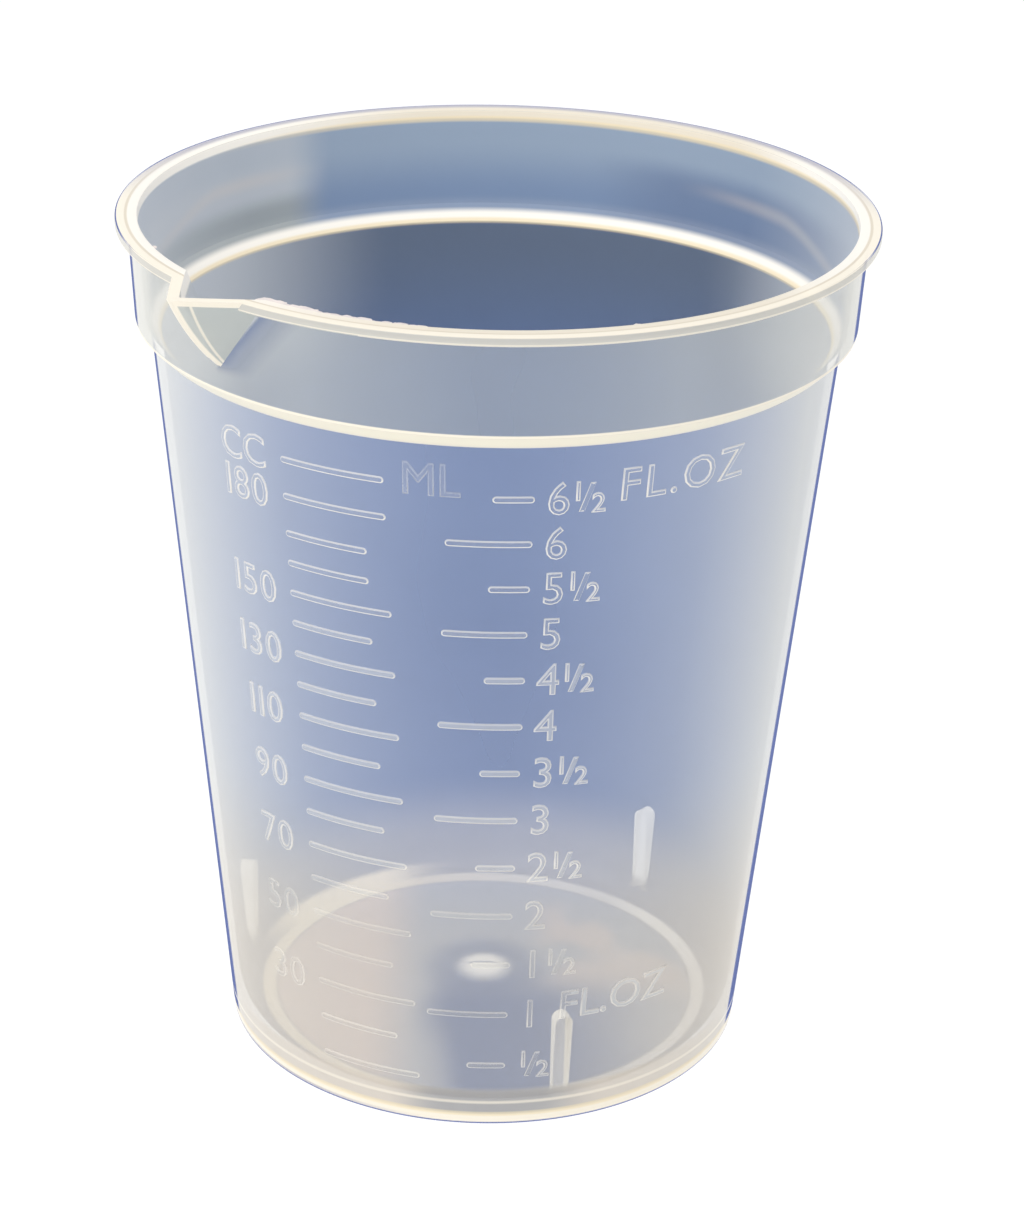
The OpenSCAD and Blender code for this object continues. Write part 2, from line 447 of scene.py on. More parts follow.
spout_out = Vector((math.cos(SPOUT_DIRECTION), math.sin(SPOUT_DIRECTION), 0))
spout_side = Vector((-spout_out.y, spout_out.x, 0))
up = Vector((0, 0, 1))


def collar_radius_at(height):
    """Outer radius of the collar at a height, in millimetres."""
    flare = (collar_top_radius - collar_radius) / (bead_foot - step_top)
    return collar_radius + flare * (height - step_top)


ridge_height = step_top + SPOUT_ABOVE_STEP
ridge_foot = Vector((collar_radius_at(ridge_height), ridge_height))
ridge_tip = Vector((rim_radius + SPOUT_REACH, cup_top))
ridge_run = ridge_tip - ridge_foot
ridge_radius = dome_radius(ridge_run.length / 2, RIDGE_BOW)
ridge_normal = Vector((-ridge_run.y, ridge_run.x)).normalized()
ridge_centre = (ridge_foot + ridge_tip) / 2 + ridge_normal * (ridge_radius - RIDGE_BOW)
foot_angle = math.degrees(math.atan2(*(ridge_foot - ridge_centre).yx))
tip_angle = math.degrees(math.atan2(*(ridge_tip - ridge_centre).yx))
print("ridge", round(ridge_run.length, 1), "mm long, foot at", round(ridge_height, 1), "mm")

# %% [markdown]
# A V-shaped wedge swept along that arc gives both faces at once. It is drawn as a flat V in the plane
# that leaves the arc's centre at the starting angle, and then spun round that centre.

# %% The wedge
def place_on_spout(out, side, angle):
    """A point of the wedge: its distance from the ridge's centre, to one side, at an angle of the arc."""
    turn = math.radians(angle)
    radius = ridge_centre.x + out * math.cos(turn)
    height = ridge_centre.y + out * math.sin(turn)
    return spout_out * radius + spout_side * side + up * height


def sweep_wedge(name, inset, nose):
    """A V-shaped wedge along the ridge, its faces moved in by a distance and its nose rounded."""
    half = math.radians(SPOUT_HALF_ANGLE)
    apex = ridge_radius - inset / math.sin(half)
    nose_centre = apex - nose / math.sin(half)
    leg = (apex - FACE_LENGTH * math.cos(half), FACE_LENGTH * math.sin(half))
    nose_arc = arc((nose_centre, 0), nose, SPOUT_HALF_ANGLE - 90, 90 - SPOUT_HALF_ANGLE, 6)
    outline = [(leg[0], -leg[1]), *nose_arc, leg]
    start = foot_angle - SWEEP_BELOW
    sweep = math.radians(tip_angle + SWEEP_ABOVE - start)
    wedge = draw_line(name, [place_on_spout(out, side, start) for out, side in outline])
    bpy.ops.mesh.edge_face_add()
    middle = (spout_out * ridge_centre.x + up * ridge_centre.y) * MM
    bpy.ops.mesh.spin(steps=SWEEP_STEPS, angle=sweep, center=middle, axis=up.cross(spout_out))
    close_up()
    return wedge


print("wedge of", 2 * SPOUT_HALF_ANGLE, "degrees, swept in", SWEEP_STEPS, "steps")

# %% [markdown]
# A large wedge is cut off level with the rim and cut back to the middle of the collar's wall, and then
# joined to the cup. A smaller one, set in by the wall's thickness, is cut out and opens the lip.

# %% Spout
def combine(piece, tool, operation):
    """Joins a tool to a piece or cuts it out of it, and throws the tool away."""
    take(piece)
    bpy.ops.object.modifier_add(type="BOOLEAN")
    modifier = piece.modifiers[-1]
    modifier.operation = operation
    modifier.object = tool
    modifier.solver = "EXACT"
    bpy.ops.object.modifier_apply(modifier=modifier.name)
    bpy.data.objects.remove(tool)


def trim_below(piece, height):
    """Cuts off all of a piece above a height in millimetres and closes the cut."""
    take(piece)
    edit()
    bpy.ops.mesh.bisect(
        plane_co=(0, 0, height * MM), plane_no=(0, 0, 1), threshold=TINY, clear_outer=True, use_fill=True
    )
    leave_edit()


spout = sweep_wedge("spout", 0, RIDGE_ROUND)
trim_below(spout, cup_top)
half_wall = WALL / 2
plug_foot = step_foot - 10
plug_top = cup_top + 5
mouth_plug = turn_solid("mouth_plug", [
    (0, plug_foot),
    (collar_radius_at(plug_foot) - half_wall, plug_foot),
    (collar_radius_at(plug_top) - half_wall, plug_top),
    (0, plug_top),
])
combine(spout, mouth_plug, "DIFFERENCE")
combine(cup, spout, "UNION")
combine(cup, sweep_wedge("spout_hollow", WALL, RIDGE_ROUND / 2), "DIFFERENCE")
print("spout added:", len(cup.data.polygons), "faces")

# %% [markdown]
# ## The stacking ribs
# Three short ribs stand inside the heel, so that stacked cups don't jam. Each is a block with a
# rounded top, whose back leans with the wall and ends inside it. All three are shaped on the same
# side, turned to their places and joined to the cup.

# %% Stacking ribs
RIB_DIRECTION = math.radians(48)
RIB_COUNT = 3
RIB_WIDTH = 1.8
RIB_TOP = 12.2
RIB_REACH = 1.5
RIB_FOOT = 0.6
NEARLY_ALL = 0.98


def make_rib(direction):
    """One rib at a direction round the axis, from inside the floor to its rounded top."""
    face = wall_radius(RIB_TOP) - WALL - RIB_REACH
    back = wall_radius(0) - half_wall
    start_clean()
    middle = Vector(((face + back) / 2, 0, (RIB_FOOT + RIB_TOP) / 2)) * MM
    bpy.ops.mesh.primitive_cube_add(size=1, location=(0, 0, 0))
    rib = bpy.context.object

    def top_edge(edge):
        """True for the two upper edges that run from the face of the rib to its back."""
        one, other = (rib.data.vertices[i].co for i in edge.vertices)
        return abs((one - other).normalized().x) > 0.9 and min(one.z, other.z) > middle.z

    edit()
    bpy.ops.transform.resize(value=((back - face) * MM, RIB_WIDTH * MM, (RIB_TOP - RIB_FOOT) * MM))
    bpy.ops.transform.translate(value=middle)
    pick(rib, "EDGE", top_edge)
    bpy.ops.mesh.bevel(offset=RIB_WIDTH / 2 * NEARLY_ALL * MM, segments=8, affect="EDGES")
    pick(rib, "VERT", lambda vertex: vertex.co.x > middle.x and vertex.co.z > middle.z)
    move(wall_lean * RIB_TOP)
    leave_edit()
    turn_round(rib, direction)
    return rib


for rib_number in range(RIB_COUNT):
    combine(cup, make_rib(RIB_DIRECTION + rib_number * math.tau / RIB_COUNT), "UNION")
print(RIB_COUNT, "ribs joined:", len(cup.data.polygons), "faces")

# %% [markdown]
# ## Which face is which
# Cloudy plastic looks different from its two sides. Seen from outside, the wall is a thin milky
# veil. Seen from inside, it is the dark far side of the cup. Each face is therefore sorted by where
# it is and the way it points: outer skin, inner skin, ribs, the spout's ridge or the spout's faces.

# %% Sort the faces
OUTER, INNER, RIB, RIDGE, SPOUT = range(5)
CLOSE = 0.02
RIB_INSIDE = 25.6
LIP_ZONE = 0.3
SPOUT_ABREAST = 0.9
FACES_UP = 0.3
FACES_IN = -0.2
RIDGE_TURN = 0.62
SPOUT_TURN = 0.93


def radial(place):
    """Unit vector away from the axis, level, at a place."""
    return Vector((place.x, place.y, 0)).normalized()


def near_rib(place):
    """True between the flanks of a rib and inside the line of the wall."""
    radius = math.hypot(place.x, place.y) / MM
    if place.z / MM > RIB_TOP + 0.1 or radius > wall_radius(place.z / MM) - WALL - CLOSE:
        return False
    turned = (math.atan2(place.y, place.x) - RIB_DIRECTION) % (math.tau / RIB_COUNT)
    turned = min(turned, math.tau / RIB_COUNT - turned)
    return radius * turned < RIB_WIDTH / 2 + CLOSE and radius > RIB_INSIDE


def beyond_collar(place):
    """How far a place of the spout is outside the collar, in millimetres, and 0 elsewhere."""
    out = math.hypot(place.x, place.y) / MM - collar_radius_at(place.z / MM)
    abreast = radial(place).dot(spout_out) > SPOUT_ABREAST
    return out if abreast and place.z / MM > ridge_height - 0.5 else 0


def kind_of(face):
    """The slot of a face of the cup, from where it is and the way it points."""
    place, normal = face.center, face.normal
    height = place.z / MM
    outwards = normal.dot(radial(place))
    if near_rib(place):
        return RIB
    if height > cup_top - LIP_ZONE and normal.z > FACES_UP:
        return OUTER
    if beyond_collar(place) > CLOSE and outwards > 0.3 and abs(normal.z) < 0.7:
        across = abs(place.dot(spout_side)) / MM
        if across < RIDGE_ROUND and abs(normal.dot(spout_side)) < RIDGE_TURN:
            return RIDGE
        if outwards < SPOUT_TURN:
            return SPOUT
    return INNER if normal.z > FACES_UP or outwards < FACES_IN else OUTER


for face in cup.data.polygons:
    face.material_index = kind_of(face)
counts = [sum(face.material_index == kind for face in cup.data.polygons) for kind in range(5)]
print("faces of the outer skin, inner skin, ribs, ridge and spout:", counts)

take(cup)
bpy.ops.object.shade_smooth_by_angle(angle=math.radians(28))

# %% [markdown]
# ## Making the plastic
# Polypropylene without pigment is milky: some of the light that meets it is scattered back and the
# rest goes through. The veil is a mix of a plastic shader and a transparent one. Every skin shows
# only from its own side, as if the other side weren't there. The plastic scatters most light
# forwards, so lamps and soft light reach through it and it casts only a thin shadow.

# %% The veil
PLASTIC_IOR = 1.49
LIGHT_THROUGH = 0.92


def new_plastic(name):
    """An empty material whose faces show from their front only."""
    material = bpy.data.materials.new(name)
    material.use_nodes = True
    material.use_backface_culling = True
    material.node_tree.nodes.clear()
    return material


def veil(tree, colour, cover, roughness, behind=WHITE):
    """Plastic of a colour over what is behind it, which shows by what the cover leaves."""
    look = {"Base Color": colour, "Roughness": roughness, "IOR": PLASTIC_IOR}
    body = wire("BsdfPrincipled", look, tree=tree)
    clear = wire("BsdfTransparent", {"Color": behind}, tree=tree)
    return wire("MixShader", {0: cover, 1: clear, 2: body})


def show(material, shader):
    """Puts a shader on a material's surface."""
    end = material.node_tree.nodes.new("ShaderNodeOutputMaterial")
    material.node_tree.links.new(shader, end.inputs["Surface"])
    return material


def finish_plastic(material, colour, cover, roughness, behind=WHITE):
    """Gives a material a veil that shows from the front only and that most light goes through."""
    tree = material.node_tree
    nothing = wire("BsdfTransparent", {"Color": WHITE}, tree=tree)
    back = wire("NewGeometry", {}, "Backfacing", tree)
    path = wire("LightPath", {}, tree=tree).node
    lighting = larger(path.outputs["Is Shadow Ray"], path.outputs["Is Diffuse Ray"])
    gone = larger(back, times(lighting, LIGHT_THROUGH))
    front = veil(tree, colour, cover, roughness, behind)
    return show(material, wire("MixShader", {0: gone, 1: front, 2: nothing}))


print("share of light that reaches through a skin:", LIGHT_THROUGH)

# %% [markdown]
# ### Where a spot is
# The colours of the moulding are fixed on it: they go by the height of a spot, its distance from the
# axis and how far it lies to one side. All of these are in millimetres. Only haze, glass and gloss
# go by the angle of view, as they do in real plastic.

# %% Helpers for places
def measures(tree):
    """Position in metres, then its height, its distance from the axis, x and y in millimetres."""
    place = wire("TexCoord", {}, "Object", tree)
    split = wire("SeparateXYZ", {0: place}).node
    x, y, height = (times(split.outputs[axis], 1 / MM) for axis in "XYZ")
    level = wire("CombineXYZ", {"X": x, "Y": y})
    radius = wire("VectorMath", {0: level}, "Value", operation="LENGTH")
    return place, height, radius, x, y


def along(place, direction):
    """How far a place lies along a direction, in millimetres."""
    return times(wire("VectorMath", {0: place, 1: direction}, "Value", operation="DOT_PRODUCT"), 1 / MM)


def facing_away(tree):
    """0 where a surface is seen squarely and 1 where it is seen edge-on."""
    return wire("LayerWeight", {"Blend": 0.5}, "Facing", tree)


def facing_up(tree):
    """The upward part of a surface's direction, from -1 to 1."""
    return wire("SeparateXYZ", {0: wire("NewGeometry", {}, "Normal", tree)}, "Z")


# %% [markdown]
# ### The outer skin
# A bluish veil lies over the whole wall; its blue is painted and stands in for blue surroundings seen
# through the plastic. Where the wall is seen at a slant, light crosses more of it and the veil thickens
# to a pale haze. Where it is seen edge-on it is clear like glass, and a painted dark blue outline tints
# what is behind it. Corners catch light from all round, so the foot, the step and the rim carry painted
# cream highlights. A slow noise keeps the veil from being even, as flow marks do in a moulding.

# %% Colours of the outer skin
# The blue of MILKY_BLUE is painted: it stands in for blue surroundings seen through the wall.
MILKY_BLUE = (0.41, 0.51, 0.80, 1)
COLLAR_MILK = (0.55, 0.60, 0.64, 1)
HEEL_MILK = (0.56, 0.55, 0.54, 1)
HEEL_SHADE = (0.22, 0.23, 0.26, 1)
HEEL_SIDE = (0.62, 0.55, 0.47, 1)
SLANT_GREY = (0.63, 0.65, 0.66, 1)
SLANT_WARM = (0.64, 0.59, 0.51, 1)
COLLAR_SLANT = (0.68, 0.68, 0.63, 1)
# EDGE_BLUE tints the painted dark outline, which stands in for dark surroundings bent into view at an edge.
EDGE_BLUE = (0.15, 0.19, 0.41, 1)
# Painted shade in the crease to the right of the spout.
CREASE_SHADE_BLUE = (0.10, 0.15, 0.29, 1)
CREAM = (0.94, 0.87, 0.73, 1)
BRIGHT = (0.97, 0.93, 0.85, 1)
TAN = (0.72, 0.64, 0.50, 1)
LILAC = (0.38, 0.37, 0.46, 1)
BACK_CREAM = (0.82, 0.74, 0.60, 1)
YELLOW = (0.86, 0.71, 0.42, 1)
STEP_CREAM = (1.0, 0.94, 0.76, 1)
BEAD_GREY = (0.62, 0.60, 0.54, 1)


def outer_wall(height, x, slant, heel):
    """Colour of the wall, the heel and the collar, which goes over to haze with the slant."""
    above_step = ramp(height, step_foot, step_top)
    # The heel is painted shade in its middle, and paler and warmer towards its sides.
    heel_colour = blend(larger(fade(x, -10, -4), ramp(x, 6, 13)), HEEL_SHADE, HEEL_SIDE)
    milk = paint(
        HEEL_MILK, (ramp(height, 20, 40), MILKY_BLUE), (heel, heel_colour), (above_step, COLLAR_MILK)
    )
    haze = paint(SLANT_WARM, (ramp(height, 10, 38), SLANT_GREY), (above_step, COLLAR_SLANT))
    return blend(slant, milk, haze)


def outer_edges(height):
    """Share of the painted cream highlights: the foot, the top of the heel, the step and the edge of the
    bead.
    """
    foot = fade(height, 1.15, 1.55)
    heel_line = times(band(height, 2.75, 2.85, 0.25), 0.6)
    step = band(height, step_foot + 0.1, step_top + 0.2, 0.12)
    bead_edge = times(band(height, bead_foot - 0.01, bead_foot + 0.22, 0.08), 0.7)
    return larger(foot, heel_line, step, bead_edge)


def lip_colour(x):
    """Colour of the inner edge of the lip, a painted highlight that is brightest at the two sides."""
    return blend(larger(fade(x, -28, -6), ramp(x, 24, 33)), BACK_CREAM, BRIGHT)


def lip_top(radius, x, y):
    """Colour of the top of the lip: a tan line between two pale ones in front, lilac at the back."""
    pale = lip_colour(x)
    front = blend(ramp(radius, rim_radius - 0.98, rim_radius - 0.86), TAN, CREAM)
    front = blend(ramp(radius, rim_radius - 1.28, rim_radius - 1.12), pale, front)
    back = blend(ramp(radius, rim_radius - 1.7, rim_radius - 0.6), pale, LILAC)
    return blend(ramp(y, -2, 22), front, back)


print("cream lines at the foot, at", round(step_foot, 1), "and at", round(bead_foot, 1), "mm")

# %% [markdown]
# ### How thick the veil is
# The slant is counted from the squarest view that the wall has at its height. The collar stands more
# upright than the wall, and is clearer at its sides. Right of the spout a painted shade runs down the
# collar in a dark band, where the fold turns away.

# %% Outer skin
VEIL = 0.235
VEIL_FLOW = 0.03
SLANT_VEIL = 0.90
COLLAR_VEIL = 0.62
HEEL_VEIL = 0.88
BEAD_VEIL = 0.85
EDGE_COVER = 0.96
SQUAREST_AT_FOOT = 0.188
SQUAREST_AT_RIM = 0.075
COLLAR_UPRIGHT = 0.036
SLANT_POWER = 0.6
SLANT_GAIN = 1.24
CREASE_RUN = 7.3
CREASE_SHADE_WIDTH = 4.2


def slant_share(facing, height):
    """0 where the wall is seen as squarely as it can be at its height, 1 where it is seen edge-on."""
    squarest = between(height, 0, cup_top, SQUAREST_AT_FOOT, SQUAREST_AT_RIM)
    squarest = minus(squarest, times(ramp(height, step_foot, step_top), COLLAR_UPRIGHT))
    bent = calculate("POWER", minus(facing, squarest, clamp=True), SLANT_POWER)
    return times(bent, SLANT_GAIN, clamp=True)


def spout_crease(place, height):
    """Share of the painted shade in the crease to the right of the spout."""
    beside = minus(along(place, spout_side), between(height, ridge_height, cup_top, 0, CREASE_RUN))
    return times(
        between(beside, 0, CREASE_SHADE_WIDTH, 0.85, 0),
        ramp(height, ridge_height - 0.6, ridge_height + 1.0),
        ramp(beside, -0.6, -0.1),
        ramp(along(place, spout_out), 20, 24),
    )


def make_outer_skin():
    """The painted blue veil, with its painted cream highlights, pale haze and painted dark outline."""
    material = new_plastic("outer_skin")
    tree = material.node_tree
    place, height, radius, x, y = measures(tree)
    facing = facing_away(tree)
    # Painted light: the haze is raised towards the right side of the wall.
    slant = calculate("ADD", slant_share(facing, height), times(ramp(x, 18, 34), 0.12), clamp=True)
    heel = fade(height, 3.9, 4.8)
    # Painted shade in the crease beside the spout.
    crease_shade = spout_crease(place, height)
    bead = ramp(height, bead_foot - 0.02, bead_foot + 0.02)
    edges = outer_edges(height)
    lip = ramp(height, cup_top - 0.12, cup_top - 0.02)
    colour = paint(
        outer_wall(height, x, slant, heel),
        (crease_shade, CREASE_SHADE_BLUE),
        (bead, BEAD_GREY),
        (edges, CREAM),
        (band(height, step_foot + 0.4, step_top - 0.2, 0.2), STEP_CREAM),
        (times(band(height, 1.2, 1.5, 0.2), 0.55), YELLOW),
        # painted shade along the bottom of the foot, on the left
        (times(fade(height, 0.45, 0.75), fade(x, -20, -2), 0.8), LILAC),
        (lip, lip_top(radius, x, y)),
    )

    flow = between(noise(place, 45), 0.3, 0.7, VEIL - VEIL_FLOW, VEIL + VEIL_FLOW)
    above_step = ramp(height, step_top, step_top + 0.5)
    collar_side = times(above_step, ramp(gap(x, 0), 16, 24), fade(facing, 0.68, 0.76))
    cover = mix(slant, flow, mix(collar_side, SLANT_VEIL, COLLAR_VEIL))
    cover = larger(mix(heel, cover, HEEL_VEIL), crease_shade)
    cover = mix(bead, cover, BEAD_VEIL)
    cover = mix(larger(edges, lip), cover, EDGE_COVER)

    # Painted dark outline: where the wall, the round of the bead, the far brim and the lowest edge are seen
    # edge-on, what shows through is tinted dark blue.
    outer_half = times(bead, ramp(radius, rim_radius - 0.6, rim_radius - 0.4))
    bead_round = times(band(facing_up(tree), 0.55, 0.96, 0.03), ramp(facing, 0.55, 0.68), outer_half)
    far_brim = times(ramp(radius, rim_radius - 0.45, rim_radius - 0.25), ramp(y, -2, 15), lip)
    plain = minus(1.0, larger(bead, edges, lip))
    outline = times(ramp(calculate("ADD", facing, times(ramp(x, 5, 28), 0.02)), 0.875, 0.915), plain)
    edge_on = larger(outline, larger(bead_round, far_brim, fade(height, 0.28, 0.42)))
    cover = mix(edge_on, cover, 0)
    return finish_plastic(material, colour, cover, 0.28, blend(edge_on, WHITE, EDGE_BLUE))


outer_skin = make_outer_skin()
print("outer skin:", len(outer_skin.node_tree.nodes), "nodes")

# %% [markdown]
# ### The inner skin
# Seen into the cup, the wall is a deep blue: painted blue surroundings seen through it, darkened by
# painted shade. It turns to a grey painted shade towards the step and has painted light at the sides.
# The collar shows a painted patch of light, a painted patch of shade and a faint painted reflection in
# an arc. The step carries a painted white glow all round with a yellow lower edge, and the lip a painted
# highlight.

# %% Inside of the wall
# The blues inside are painted: blue surroundings seen through the wall, darkened by painted shade, most low
# down.
DEEP_BLUE = (0.078, 0.122, 0.245, 1)
LOW_BLUE = (0.060, 0.098, 0.215, 1)
STEP_SHADE = (0.080, 0.102, 0.145, 1)
COLLAR_LOW = (0.17, 0.24, 0.37, 1)
COLLAR_SHADE = (0.12, 0.17, 0.28, 1)
COLLAR_HIGH = (0.27, 0.34, 0.43, 1)
SIDE_LIGHT = (0.50, 0.52, 0.53, 1)
OLIVE = (0.33, 0.35, 0.32, 1)


def inner_collar(height, x):
    """Colour of the inside of the collar, with the painted patches of light and shade and the painted
    mirrored arc.
    """
    patch_colour = blend(ramp(height, 79.5, 81.8), OLIVE, SIDE_LIGHT)
    patch = times(fade(x, -23, -18), mix(ramp(height, 83, 85.5), 0.9, 0.7))
    aside = gap(x, 0)
    mirrored = minus(between(x, -30, 30, 83.3, 81.8), times(ramp(aside, 29, 36), 3))
    mirrored_arc = times(fade(gap(height, mirrored), 0, 1.2), ramp(aside, 18, 28), 0.35)
    return paint(
        COLLAR_LOW,
        (ramp(height, step_top + 1, cup_top - 3), COLLAR_HIGH),
        # painted shade on the right of the collar
        (times(ramp(x, 8, 20), fade(height, 82, 85), 0.8), COLLAR_SHADE),
        # painted light on the left of the collar
        (patch, patch_colour),
        (mirrored_arc, HEEL_SIDE),
    )


def inner_wall(height, x, slant):
    """Colour of the inside of the wall and the collar: painted blue, painted shade and painted side light,
    with the haze that the slant gives.
    """
    sides = larger(fade(x, -33, -11), times(ramp(x, 21, 34), 0.6))
    return paint(
        LOW_BLUE,
        (ramp(height, 20, 42), DEEP_BLUE),
        (ramp(height, 58, 76), STEP_SHADE),
        (times(sides, ramp(height, 60, 70)), SIDE_LIGHT),
        (ramp(height, step_foot + 0.4, step_foot + 0.8), inner_collar(height, x)),
        (times(slant, 0.8), SLANT_GREY),
    )


# %% [markdown]
# ### The floor inside
# The heel holds a painted bright ring of light, which is wide at the back left. The floor in it is a soft
# patchwork, warm to the left and in spots at the back right, and cool in front of the gate. The gate's
# lens carries a painted highlight in a cool halo, and a short dark slit crosses it.

# %% Inner skin
FLOOR_GREY = (0.46, 0.46, 0.47, 1)
FLOOR_COOL = (0.09, 0.14, 0.29, 1)
FLOOR_WARM = (0.74, 0.60, 0.50, 1)
RING_CREAM = (1.0, 0.87, 0.65, 1)
RING_PALE = (0.95, 0.90, 0.81, 1)
HEEL_GREY = (0.40, 0.37, 0.35, 1)
# BEHIND_BLUE is painted: it tints what shows through the inner skin with blue surroundings.
BEHIND_BLUE = (0.22, 0.32, 0.55, 1)
INNER_COVER = 0.86
FLOOR_WOBBLE = 9.0


def inner_floor(place, radius, x, y):
    """Colour of the floor inside the ring, with the painted highlight of the gate's lens."""
    shifted = calculate("MULTIPLY_ADD", noise(place, 60, 1), FLOOR_WOBBLE, x)
    cool = times(ramp(shifted, -4, 2), fade(shifted, 10, 27), fade(y, -8, 2))
    rosy = times(ramp(noise(place, 90, 1), 0.42, 0.60), times(ramp(x, 4, 9), ramp(y, -6, 2)), 0.7)
    slit = times(fade(gap(y, 0.1), 0.10, 0.30), fade(gap(x, 0), 1.2, 2.4), 0.5)
    return paint(
        FLOOR_GREY,
        (cool, FLOOR_COOL),
        (larger(fade(x, -13, -6), rosy), FLOOR_WARM),
        (times(fade(radius, 4, 8), 0.55), FLOOR_COOL),
        # painted highlight on the gate's lens
        (fade(radius, 1.2, 3.7), BRIGHT),
        (slit, FLOOR_COOL),
    )


def make_inner_skin():
    """The painted deep blue inside, with the painted glow of the step and the lip, the painted ring of
    light and the floor.
    """
    material = new_plastic("inner_skin")
    tree = material.node_tree
    place, height, radius, x, y = measures(tree)
    low = fade(height, 4.5, 5.5)
    back_left = times(fade(x, -12, -3), ramp(y, 4, 13))
    # Painted ring of light in the heel, wide at the back left.
    ring = larger(band(radius, 22.7, 23.6, 0.5), times(band(radius, 23.4, 24.9, 0.6), back_left))
    ring = times(ring, low, larger(fade(x, -14, 2), ramp(x, 6, 20), 0.6))
    # Painted highlights on the step and the lip, with a faint painted glow above the step.
    step = times(ramp(height, step_foot - 0.15, step_foot), fade(height, step_top - 0.9, step_top - 0.2))
    glow = times(fade(height, step_top - 0.2, step_top + 1), ramp(height, step_foot, step_foot + 0.2), 0.08)
    lip = ramp(height, cup_top - 1.05, cup_top - 0.75)
    edges = larger(step, glow, lip)
    lip_line = times(band(height, cup_top - 1.05, cup_top - 0.85, 0.35), ramp(x, -32, -12))
    yellow = larger(band(height, step_foot - 0.1, step_foot + 0.1, 0.3), lip_line)
    colour = paint(
        inner_wall(height, x, between(facing_away(tree), 0.30, 0.95)),
        (times(fade(height, 4.5, 13), 0.9), HEEL_GREY),
        (times(fade(radius, 22.0, 22.6), low), inner_floor(place, radius, x, y)),
        (ring, blend(ramp(x, -12, 12), RING_CREAM, RING_PALE)),
        (edges, blend(lip, BRIGHT, lip_colour(x))),
        (times(yellow, 0.7), YELLOW),
    )
    cover = mix(edges, INNER_COVER, EDGE_COVER)
    return finish_plastic(material, colour, cover, 0.35, BEHIND_BLUE)


inner_skin = make_inner_skin()
print("inner skin:", len(inner_skin.node_tree.nodes), "nodes")

# %% [markdown]
# ### Ribs, ridge and spout
# A rib is a thin wall seen through another, so it shows mostly by painted cream highlights on its flanks,
# from both sides, and the feet of those at the back sink into the grey of the heel. The spout's faces are
# a thicker veil with painted highlights on their folds, and the ridge between them carries a painted
# glow all along.

# %% Rib, ridge and spout plastic
RIB_CREAM = (0.88, 0.85, 0.78, 1)
SPOUT_GREEN = (0.52, 0.55, 0.51, 1)


def make_rib_plastic():
    """Painted cream highlights on the flanks round a thin face, seen from both sides."""
    material = new_plastic("rib_plastic")
    material.use_backface_culling = False
    tree = material.node_tree
    _, height, radius, x, y = measures(tree)
    half = math.pi / RIB_COUNT
    angle = minus(calculate("ARCTAN2", y, x), RIB_DIRECTION)
    aside = times(gap(calculate("WRAP", angle, half, -half), 0), radius)
    outline = larger(ramp(aside, 0.50, 0.65), ramp(height, RIB_TOP - 0.5, RIB_TOP - 0.3))
    from_behind = wire("NewGeometry", {}, "Backfacing", tree)
    cover = mix(outline, mix(from_behind, 0.75, 0.45), 0.92)
    sunk = times(fade(height, 2.4, 4.6), ramp(y, -5, 5))
    cover = mix(sunk, cover, INNER_COVER)
    return show(material, veil(tree, blend(sunk, RIB_CREAM, HEEL_GREY), cover, 0.3))


def make_ridge_plastic():
    """The fold of the spout, with a painted glow."""
    material = new_plastic("ridge_plastic")
    place = wire("TexCoord", {}, "Object", material.node_tree)
    return finish_plastic(material, CREAM, between(noise(place, 400), 0, 1, 0.85, 0.97), 0.3)


def make_spout_plastic():
    """A greenish veil with painted highlights on its folds and its upper edge."""
    material = new_plastic("spout_plastic")
    place, height, _, _, _ = measures(material.node_tree)
    across = gap(along(place, spout_side), 0)
    inside = between(height, ridge_height, cup_top, 0.7, 1.5)
    inner_fold = times(fade(gap(across, inside), 0.04, 0.16), 0.8)
    bright = larger(ramp(height, cup_top - 0.60, cup_top - 0.50), fade(across, 0.50, 0.66), inner_fold)
    cover = mix(bright, between(noise(place, 120, 1), 0.3, 0.7, 0.66, 0.74), EDGE_COVER)
    return finish_plastic(material, blend(bright, SPOUT_GREEN, CREAM), cover, 0.3)


for plastic in (outer_skin, inner_skin, make_rib_plastic(), make_ridge_plastic(), make_spout_plastic()):
    cup.data.materials.append(plastic)
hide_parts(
    "cup_wall", "cup_floor", "gate_mark", "stacking_ribs",
    "shoulder", "collar", "rim_bead", "pour_spout",
)
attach(cup, "root")
print("cup moulding dressed")

# %% [markdown]
# ## Burrs on the lip
# Where the mould's halves meet at the lip, a little plastic has crept between them and stands off as
# thin torn flakes, mostly to the right of the spout. Each flake is a ball pressed flat, crumpled by a
# seeded random shift, and pushed into the lip from the inside, a little below the top.

# %% Burrs
BURR_PINK = (0.90, 0.80, 0.76, 1)
BURR_FIRST = 234.5
BURR_STEP = 1.3
BURR_COUNT = 20
BURR_BELOW_TOP = 0.16
BURR_THICKNESS = 0.10
BURR_REACHES = (0.45, 1.25)
BURR_LENGTHS = (0.5, 1.2)
BURR_UNEVEN = 0.3
CRUMPLE = 0.25
NUBS = ((203.0, 0.45, 0.35), (291.3, 0.5, 0.4))
NUB_SEED = 90


